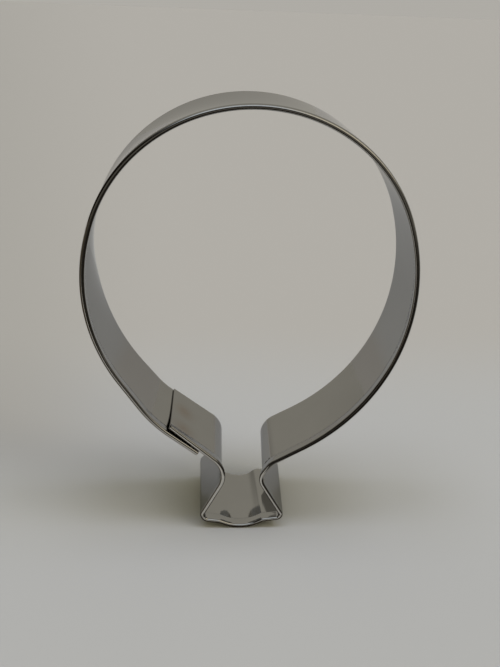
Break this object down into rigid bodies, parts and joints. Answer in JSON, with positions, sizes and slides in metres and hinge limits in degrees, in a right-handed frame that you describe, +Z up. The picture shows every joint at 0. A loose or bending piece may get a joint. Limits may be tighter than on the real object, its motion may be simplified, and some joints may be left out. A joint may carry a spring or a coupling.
{
  "type": "cookie cutter",
  "caption": "Balloon-shaped cookie cutter: a hemmed steel strip bent to a round balloon with a pinched neck and a flared knot, spot-welded at a lap, open from front to back.",
  "frame": {"origin": "on the ground, under the middle of the cutter as it stands on the foot of its knot", "axes": "+X to the right of the balloon as seen from the hemmed side, +Y from the hemmed front edge to the cutting edge, +Z up from the knot to the crown"},
  "size_m": [0.0762, 0.022, 0.1088],
  "materials": {
    "steel": "bright rolled stainless steel, near-mirror with faint lines along the strip",
    "weld": "bare weld metal, dull"
  },
  "bodies": {
    "root": {"cutter_band": "steel", "spot_weld_front": "weld", "spot_weld_rear": "weld"}
  },
  "joints": []
}
